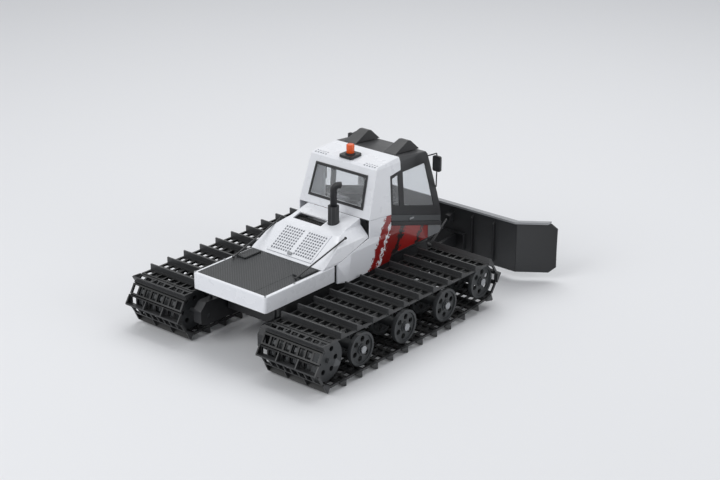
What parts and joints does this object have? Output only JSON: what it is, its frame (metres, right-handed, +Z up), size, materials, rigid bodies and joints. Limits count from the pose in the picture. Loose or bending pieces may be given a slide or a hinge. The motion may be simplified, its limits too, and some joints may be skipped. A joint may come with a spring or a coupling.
{
  "type": "radio controlled snow groomer",
  "caption": "Tracked radio-controlled snow groomer with cab, rear deck and front lifting plough blade, about 1:12 scale.",
  "frame": {"origin": "middle of the overall box in plan, on the floor under the track's grousers", "axes": "+Y towards the blade, +X the vehicle's right, +Z up"},
  "size_m": [0.368, 0.5068, 0.2279],
  "materials": {
    "black_plastic": "moulded",
    "white_shell": "painted, glossy",
    "clear_glazing": "clear",
    "amber_lens": "tinted",
    "lamp_lens": "clear",
    "steel": "turned",
    "grey_plastic": "satin",
    "track_rubber": "moulded",
    "tread_grey": "textured",
    "battery_wrap": "shrink wrap"
  },
  "bodies": {
    "chassis": {"axle_spacers": "steel", "battery_pack": "battery_wrap", "beacon_base": "black_plastic", "beacon_lens": "amber_lens", "blade_servo": "black_plastic", "body_flanks": "white_shell", "body_posts": "black_plastic", "cab_front": "black_plastic", "cab_seats": "grey_plastic", "cab_shell": "white_shell", "chassis_tub": "black_plastic", "dashboard_and_wheel": "black_plastic", "deck_screws": "steel", "deck_shell": "white_shell", "deck_step_pads": "tread_grey", "deck_tread": "tread_grey", "door_bottoms": "black_plastic", "drive_motors": "steel", "exhaust_pipe": "black_plastic", "exhaust_silencer": "black_plastic", "floor_plate": "black_plastic", "gearboxes": "black_plastic", "handles_and_latch": "grey_plastic", "headlamps": "lamp_lens", "hood_grille": "white_shell", "hood_screens": "black_plastic", "hood_shell": "white_shell", "hood_struts": "black_plastic", "mirrors": "black_plastic", "nose_panel": "grey_plastic", "pivot_ears": "black_plastic", "power_switch": "black_plastic", "rear_window_frame": "black_plastic", "roof_fairings": "black_plastic", "side_windows": "clear_glazing", "sills": "black_plastic", "speed_control_and_receiver": "black_plastic", "track_left": "track_rubber", "track_right": "track_rubber", "wheel_axles": "steel", "windshield_and_rear_window": "clear_glazing"},
    "drive_left": {"drive_drum_left": "black_plastic"},
    "drive_right": {"drive_drum_right": "black_plastic"},
    "road_wheel_left_1": {"road_wheel_left_1": "black_plastic"},
    "road_wheel_left_2": {"road_wheel_left_2": "black_plastic"},
    "road_wheel_left_3": {"road_wheel_left_3": "black_plastic"},
    "road_wheel_right_1": {"road_wheel_right_1": "black_plastic"},
    "road_wheel_right_2": {"road_wheel_right_2": "black_plastic"},
    "road_wheel_right_3": {"road_wheel_right_3": "black_plastic"},
    "idler_wheel_left": {"idler_wheel_left": "black_plastic"},
    "idler_wheel_right": {"idler_wheel_right": "black_plastic"},
    "blade_lift": {"blade_carrier": "black_plastic", "blade_centre": "black_plastic", "blade_wings": "black_plastic", "blade_lip": "grey_plastic", "blade_ribs_and_brackets": "black_plastic", "blade_rams": "black_plastic"},
    "servo_horn": {"servo_horn": "black_plastic"},
    "lift_link": {"lift_link": "black_plastic"},
    "switch_slider": {"switch_slider": "black_plastic"}
  },
  "joints": [
    {"name": "drive_left_spin", "type": "hinge", "parent": "chassis", "child": "drive_left", "pos_m": [0, -0.21539, 0.03822], "axis": [1, 0, 0], "continuous": true},
    {"name": "drive_right_spin", "type": "hinge", "parent": "chassis", "child": "drive_right", "pos_m": [0, -0.21539, 0.03822], "axis": [1, 0, 0], "continuous": true},
    {"name": "road_wheel_left_1_spin", "type": "hinge", "parent": "chassis", "child": "road_wheel_left_1", "pos_m": [0, -0.15439, 0.0333], "axis": [1, 0, 0], "continuous": true},
    {"name": "road_wheel_left_2_spin", "type": "hinge", "parent": "chassis", "child": "road_wheel_left_2", "pos_m": [0, -0.06639, 0.0333], "axis": [1, 0, 0], "continuous": true},
    {"name": "road_wheel_left_3_spin", "type": "hinge", "parent": "chassis", "child": "road_wheel_left_3", "pos_m": [0, 0.02161, 0.0333], "axis": [1, 0, 0], "continuous": true},
    {"name": "road_wheel_right_1_spin", "type": "hinge", "parent": "chassis", "child": "road_wheel_right_1", "pos_m": [0, -0.15439, 0.0333], "axis": [1, 0, 0], "continuous": true},
    {"name": "road_wheel_right_2_spin", "type": "hinge", "parent": "chassis", "child": "road_wheel_right_2", "pos_m": [0, -0.06639, 0.0333], "axis": [1, 0, 0], "continuous": true},
    {"name": "road_wheel_right_3_spin", "type": "hinge", "parent": "chassis", "child": "road_wheel_right_3", "pos_m": [0, 0.02161, 0.0333], "axis": [1, 0, 0], "continuous": true},
    {"name": "idler_wheel_left_spin", "type": "hinge", "parent": "chassis", "child": "idler_wheel_left", "pos_m": [0, 0.10182, 0.041], "axis": [1, 0, 0], "continuous": true},
    {"name": "idler_wheel_right_spin", "type": "hinge", "parent": "chassis", "child": "idler_wheel_right", "pos_m": [0, 0.10182, 0.041], "axis": [1, 0, 0], "continuous": true},
    {"name": "blade_lift_hinge", "type": "hinge", "parent": "chassis", "child": "blade_lift", "pos_m": [0, 0.13461, 0.034], "axis": [1, 0, 0], "range_deg": [-5, 22]},
    {"name": "servo_horn_turn", "type": "hinge", "parent": "chassis", "child": "servo_horn", "pos_m": [0, 0.08461, 0.034], "axis": [1, 0, 0], "range_deg": [-5, 22]},
    {"name": "lift_link_pivot", "type": "hinge", "parent": "blade_lift", "child": "lift_link", "pos_m": [0, 0.13461, 0.051], "axis": [1, 0, 0], "range_deg": [-22, 5]},
    {"name": "switch_slide", "type": "slide", "parent": "chassis", "child": "switch_slider", "axis": [1, 0, 0], "range_m": [0, 0.0032]}
  ],
  "couplings": [
    {"joint": "road_wheel_left_1_spin", "follows": "drive_left_spin", "ratio": 1.1983},
    {"joint": "road_wheel_left_2_spin", "follows": "drive_left_spin", "ratio": 1.1983},
    {"joint": "road_wheel_left_3_spin", "follows": "drive_left_spin", "ratio": 1.1983},
    {"joint": "road_wheel_right_1_spin", "follows": "drive_right_spin", "ratio": 1.1983},
    {"joint": "road_wheel_right_2_spin", "follows": "drive_right_spin", "ratio": 1.1983},
    {"joint": "road_wheel_right_3_spin", "follows": "drive_right_spin", "ratio": 1.1983},
    {"joint": "idler_wheel_left_spin", "follows": "drive_left_spin", "ratio": 1.1518},
    {"joint": "idler_wheel_right_spin", "follows": "drive_right_spin", "ratio": 1.1518},
    {"joint": "servo_horn_turn", "follows": "blade_lift_hinge", "ratio": 1},
    {"joint": "lift_link_pivot", "follows": "blade_lift_hinge", "ratio": -1}
  ]
}
